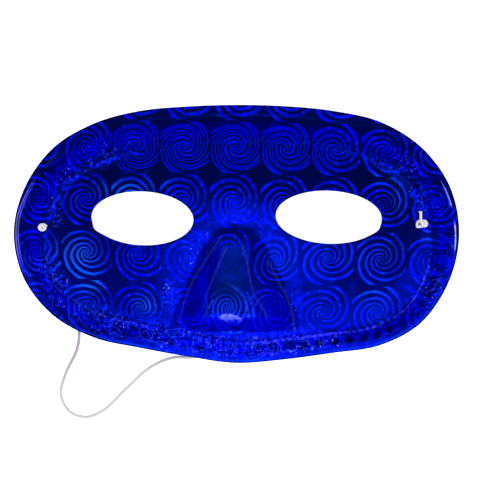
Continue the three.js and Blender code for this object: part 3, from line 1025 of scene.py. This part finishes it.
def swirl_colour(g, f):
    """The dark ground, painted darker at the forehead and lighter low, with the swirls on it, lit in
    patches, azure in places, and with painted highlights and painted dark cores where in outline.
    """
    # Painted shade at the forehead, painted reflection low
    ground = g.blend(g.ramp(f.up, *GROUND_FALL), GROUND_TOP, GROUND_LOW)
    lit = g.ramp(g.math("MULTIPLY_ADD", f.low_left, LIT_LEFT, f.patchy), *LIT_LEVELS)
    lit = g.math("MAXIMUM", lit, f.hollow)
    # The arms are darker towards the bottom
    arm = g.blend(lit, ARM_DIM, g.blend(g.ramp(f.up, *ARM_FALL), ARM_BLUE, ARM_LOW))
    arm = laid_over(g, arm, [
        (g.ramp(f.grain, *BRIGHT_GRAIN), ARM_BRIGHT),
        (g.times(f.azure, g.ramp(f.wave, *AZURE_ON_ARMS)), ARM_AZURE),
    ])
    shine = g.math("SUBTRACT", 1.0, g.times(f.facet, f.loose, FACET_SHADE))
    return laid_over(g, ground, [(g.times(f.arms, shine), arm), (f.core, CORE_BLUE)])


def formed_colour(g, f, colour):
    """Over the swirls, marks of the forming with painted light on them: painted sheen and its streaks,
    painted shade on the nose, painted highlights on the rim, folds, creases, flecks, ring crest and nose
    folds, painted shade in blots and dimples, and the tip's bright arms.
    """
    # A painted highlight along the ring's crest
    crest = g.times(f.ridged, line_at(g, f.from_ring, *CREST_LINE), g.ramp(f.grain, *CREST_GRAIN))
    return laid_over(g, colour, [
        # Painted sheen, then its streaks
        (g.times(f.wash, g.ramp(f.grain, *WASH_GRAIN)), WASH_BLUE),
        (f.strands, STRAND_BLUE),
        # Painted shade on the nose's top, then on its flanks
        (g.times(f.dull, DULL_STRENGTH), DULL_BLUE),
        (g.times(f.walled, WALL_STRENGTH), WALL_BLUE),
        # Painted highlight along the lower rim
        (g.times(f.low, line_at(g, f.far, *RIM_LINE)), RIM_BLUE),
        # Painted highlights on the folds
        (g.times(f.folds, FOLD_STRENGTH), WASH_BLUE),
        # Painted shade in blots, then painted highlights on creases and flecks
        (f.pits, GROUND_TOP),
        (g.math("MAXIMUM", f.creases, f.flecks), ARM_BRIGHT),
        # Painted shade in the dimples
        (f.dimples, GROUND_TOP),
        # Painted highlight on the ring's crest
        (crest, RIDGE_BLUE),
        # Painted highlights along the nose's folds
        (g.times(f.nose_line, NOSE_LINE_STRENGTH), PALE_LILAC),
        (g.times(f.tip_arm, g.ramp(f.grain, *TIP_GRAIN)), TIP_BLUE),
    ])


def pale_marks(g, f):
    """Painted glints: pale dots, and pale curls on the creases, where the foil is most crumpled."""
    dots = g.ramp(g.noise(f.place, *SPECKS), *SPECK_LEVELS)
    dots = g.times(dots, g.ramp(f.crumple, *SPECKS_SHOW), g.ramp(f.patchy, *SPECKS_IN_PATCHES))
    curls = g.times(f.creases, g.ramp(f.crumple, *CURLS_SHOW), CURL_STRENGTH)
    return g.math("MAXIMUM", dots, curls)


def lip_gleams(g, f):
    """The thin gleams along the lip at both ends, two on the left and one on the right."""
    second = g.times(line_at(g, f.gleam, *SECOND_LINE), f.left)
    gleams = g.math("MAXIMUM", line_at(g, f.gleam, *FIRST_GLEAM), second)
    gleams = g.times(g.ramp(f.edged, *GLEAMS_SHOW), gleams, g.ramp(f.left, *LEFT_FAINTER))
    return g.times(gleams, g.ramp(f.up, *GLEAM_HIGH), g.ramp(f.up, *GLEAM_LOW))


def lit_colour(g, f, colour):
    """Over the rest, what the light does: pale marks, the lip's dark edge and gleams, and the glare."""
    lip = g.times(g.ramp(f.edged, *DARK_LIP_SHOWS), g.ramp(f.left, *LEFT_FAINTER))
    glare = g.times(g.ramp(f.glare, *GLARE_LEVELS), g.ramp(f.grain, *GLARE_GRAIN))
    return laid_over(g, colour, [
        (pale_marks(g, f), PALE_LILAC),
        (g.times(lip, g.ramp(f.gleam, *DARK_LIP)), GROUND_TOP),
        (lip_gleams(g, f), PALE_GLINT),
        (glare, PALE_LILAC),
    ])


def foil_height(g, f):
    """The relief that is too fine for the mesh."""
    height = g.math("ADD", g.times(f.creases, CREASE_RELIEF), g.times(f.folds, FOLD_RELIEF))
    height = g.math("SUBTRACT", height, g.times(f.dimples, DIMPLE_RELIEF))
    return g.math("ADD", height, g.times(f.grain, g.ramp(f.crumple, *GRAIN_RELIEF)))


def foil_material():
    g = Graph("swirl_foil")
    f = foil_fields(g)
    add_swirls(g, f)
    add_crumples(g, f)
    add_forming(g, f)
    colour = formed_colour(g, f, swirl_colour(g, f))
    g.set("Base Color", lit_colour(g, f, colour))
    g.set("Metallic", 1.0)
    g.set("Specular Tint", FOIL_TINT)
    g.set("Roughness", g.ramp(f.arms, *FOIL_ROUGHNESS))
    g.bump(foil_height(g, f), BUMP_STRENGTH, BUMP_DEPTH)
    return g.material


def back_material():
    """The sheet's plain back."""
    g = Graph("plain_back")
    g.set("Base Color", BACK_BLUE)
    g.set("Metallic", BACK_METALLIC)
    g.set("Roughness", BACK_ROUGHNESS)
    return g.material


def elastic_graph(name, colour, gloss):
    """A matt white elastic, with a soft sheen where it has some gloss."""
    g = Graph(name)
    g.set("Base Color", colour)
    g.set("Roughness", ELASTIC_ROUGHNESS)
    g.set("Specular IOR Level", gloss)
    g.set("Sheen Weight", gloss)
    return g


def knot_material():
    return elastic_graph("white_elastic_knots", KNOT_WHITE, KNOT_GLOSS).material


def cord_material():
    """White elastic, greyer where it comes out from under the mask: painted shade of the mask."""
    g = elastic_graph("white_elastic", CORD_WHITE, CORD_GLOSS)
    x, y = here(g)
    # Painted shade of the mask on the cord
    grey = g.times(g.ramp(x, *GREY_ACROSS), g.ramp(y, *GREY_UP))
    g.set("Base Color", g.blend(grey, CORD_WHITE, CORD_GREY))
    return g.material


def floor_material():
    """A pale floor with a glow of its own, so that it stays white behind the mask."""
    g = Graph("pale_floor")
    g.set("Base Color", FLOOR_WHITE)
    g.set("Roughness", FLOOR_ROUGHNESS)
    g.set("Emission Color", FLOOR_GLOW)
    g.set("Emission Strength", FLOOR_GLOW_STRENGTH)
    return g.material


# Cord and knots

def hole_mouth(hole):
    """The point on the outer face at a hole, and the direction straight out of the sheet."""
    x, y = hole
    near = np.array([hole, (x + SLOPE_STEP, y), (x - SLOPE_STEP, y),
                     (x, y + SLOPE_STEP), (x, y - SLOPE_STEP)], float)
    z = face_height(near, rim_distance(near))
    span = 2 * SLOPE_STEP
    out = Vector((-(z[1] - z[2]) / span, -(z[3] - z[4]) / span, 1)).normalized()
    return Vector((x, y, z[0])), out


def cord_route():
    """The cord's own points: through the left hole, out in a loop, back under and up the right hole."""
    floor = CORD_RADIUS + CORD_CLEAR
    start, start_out = hole_mouth(HOLES[0])
    end, end_out = hole_mouth(HOLES[1])
    middle = [
        (-73.4, 0.4, 2.3), (-72.4, -2, 1), (-71.4, -5.2, floor), (-68.6, -15, floor),
        (-65.2, -27, floor), (-62.9, -38.6, floor), (-63.6, -46, floor), (-68.5, -56.6, floor),
        (-70.2, -64.6, floor), (-66.6, -71.3, floor), (-60.1, -73.5, floor), (-52.7, -70.5, floor),
        (-43.9, -62.1, floor), (-34.3, -53.6, floor), (-25.4, -49.7, floor), (-16, -49.2, floor),
        (-4, -45.4, floor), (8, -36, floor), (22, -26.5, floor), (38, -24, floor),
        (54, -19.5, floor), (65, -8.5, floor), (68.9, -1.4, floor), (70.2, 1, 1), (71.3, 2.9, 2.3),
    ]
    down, up = start - CORD_STRAIGHT * start_out, end - CORD_STRAIGHT * end_out
    return [start, down] + [Vector(p) for p in middle] + [up, end]


def centripetal(points, per_span):
    """An open centripetal curve through the points."""
    every = [2 * points[0] - points[1], *points, 2 * points[-1] - points[-2]]
    curve = []
    for i in range(len(points) - 1):
        p0, p1, p2, p3 = every[i:i + 4]
        d0, d1, d2 = (max((b - a).length ** 0.5, LEAST_GAP) for a, b in ((p0, p1), (p1, p2), (p2, p3)))
        leave = ((p1 - p0) / d0 - (p2 - p0) / (d0 + d1) + (p2 - p1) / d1) * d1
        arrive = ((p2 - p1) / d1 - (p3 - p1) / (d1 + d2) + (p3 - p2) / d2) * d1
        for k in range(per_span):
            t = k / per_span
            curve.append(p1 + leave * t + (-3 * p1 + 3 * p2 - 2 * leave - arrive) * t ** 2
                         + (2 * p1 - 2 * p2 + leave + arrive) * t ** 3)
    return curve + [points[-1]]


def add_strand(data, points, share=1.0):
    """Adds one line of points to a curve, its tube a share of the curve's own radius."""
    spline = data.splines.new("POLY")
    spline.points.add(len(points) - 1)
    for point, place in zip(spline.points, points):
        point.co = (*(place * MM), 1)
        point.radius = share
    return spline


def tube(name, points, radius, material):
    """A round tube along points, both in millimetres."""
    data = bpy.data.curves.new(name, "CURVE")
    data.dimensions = "3D"
    add_strand(data, points).use_smooth = True
    data.bevel_depth = radius * MM
    data.bevel_resolution = TUBE_ROUNDNESS
    data.use_fill_caps = True
    data.materials.append(material)
    return add_object(name, data)


def on_hole(hole, points):
    """Points in millimetres about a hole's mouth, the third of each measured out of the sheet."""
    mouth, out = hole_mouth(hole)
    turned = Vector((0, 0, 1)).rotation_difference(out)
    return [mouth + turned @ Vector(p) for p in points]


def make_round_knot(material):
    """A tight knot that shows as one small coil."""
    coil = []
    for i in range(COIL_STEPS + 1):
        share = i / COIL_STEPS
        angle = math.pi * (COIL_FROM + COIL_HALF_TURNS * share)
        reach = COIL_REACH - COIL_CLOSES * share
        x = COIL_LONG * reach * math.cos(angle)
        y = COIL_WIDE * reach * math.sin(angle)
        coil.append((x, y, COIL_BASE + COIL_RISE * share))
    return tube("knot_left_tied", on_hole(HOLES[0], coil), COIL_CORD_RADIUS, material)


def make_tailed_knot(material):
    """A flat looped knot whose cut end lies up the forehead side, with its frayed tip."""
    path = centripetal([Vector(p) for p in KNOT_TAIL + KNOT_LOOP], KNOT_SPAN_STEPS)
    knot = tube("knot_right_tied", on_hole(HOLES[1], path), KNOT_CORD_RADIUS, material)
    x = FRAY_FROM[0]
    for lean in FRAY_LEANS:
        middle = (x + 0.5 * lean, *FRAY_MIDDLE)
        tip = (x + lean, FRAY_END[0], FRAY_END[1] + FRAY_RISE * lean)
        add_strand(knot.data, on_hole(HOLES[1], [FRAY_FROM, middle, tip]), FRAY_THIN)
    return knot


# Stage

FLOOR_SIZE = 3.0
FLOOR_DOWN = 0.0002
STUDIO_GREY = (0.8, 0.8, 0.8, 1)
STUDIO_STRENGTH = 1.1
MASK_AT = Vector((0, 0, 0))

# Each softbox's name, place, size and power
SOFTBOXES = [
    ("softbox_top", (0.0, -0.35, 1.2), (1.2, 0.8), 6),
    ("softbox_low", (0.0, -1.0, 0.75), (1.2, 0.5), 3.5),
    ("softbox_back", (0.0, 0.9, 0.9), (1.2, 0.5), 2.2),
]


def make_floor():
    mesh = bpy.data.meshes.new("floor")
    bm = bmesh.new()
    bmesh.ops.create_grid(bm, x_segments=1, y_segments=1, size=FLOOR_SIZE)
    bm.to_mesh(mesh)
    bm.free()
    mesh.materials.append(floor_material())
    floor = add_object("floor", mesh)
    floor.location.z = -FLOOR_DOWN


def softbox(name, at, size, power):
    """A soft light that points at the mask."""
    data = bpy.data.lights.new(name, "AREA")
    data.shape = "RECTANGLE"
    data.size, data.size_y = size
    data.energy = power
    light = add_object(name, data)
    light.location = at
    light.rotation_euler = (MASK_AT - Vector(at)).to_track_quat("-Z", "Y").to_euler()


def make_light():
    world = bpy.data.worlds.new("studio")
    world.use_nodes = True
    background = world.node_tree.nodes["Background"]
    background.inputs["Color"].default_value = STUDIO_GREY
    background.inputs["Strength"].default_value = STUDIO_STRENGTH
    bpy.context.scene.world = world
    for name, at, size, power in SOFTBOXES:
        softbox(name, at, size, power)


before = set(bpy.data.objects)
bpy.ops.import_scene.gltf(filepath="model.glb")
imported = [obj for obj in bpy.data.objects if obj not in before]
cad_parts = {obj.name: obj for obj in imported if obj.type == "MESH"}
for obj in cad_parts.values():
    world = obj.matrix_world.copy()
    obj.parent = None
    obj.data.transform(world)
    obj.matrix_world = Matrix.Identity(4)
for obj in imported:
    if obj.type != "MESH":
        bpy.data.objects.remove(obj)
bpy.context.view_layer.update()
bpy.context.scene.view_settings.view_transform = "Standard"
make_camera()
cord_look = cord_material()
knot_look = knot_material()
route = centripetal(cord_route(), CORD_SPAN_STEPS)
cord = tube("mask_elastic", route, CORD_RADIUS, cord_look)
knot_left = make_round_knot(knot_look)
knot_right = make_tailed_knot(knot_look)
for piece, node in ((cord, "elastic_cord"), (knot_left, "knot_left"), (knot_right, "knot_right")):
    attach(piece, "root")
    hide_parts(node)

shell = make_shell()
shell.data.materials.append(foil_material())
shell.data.materials.append(back_material())
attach(shell, "root")
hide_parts("mask_shell")

make_floor()
make_light()
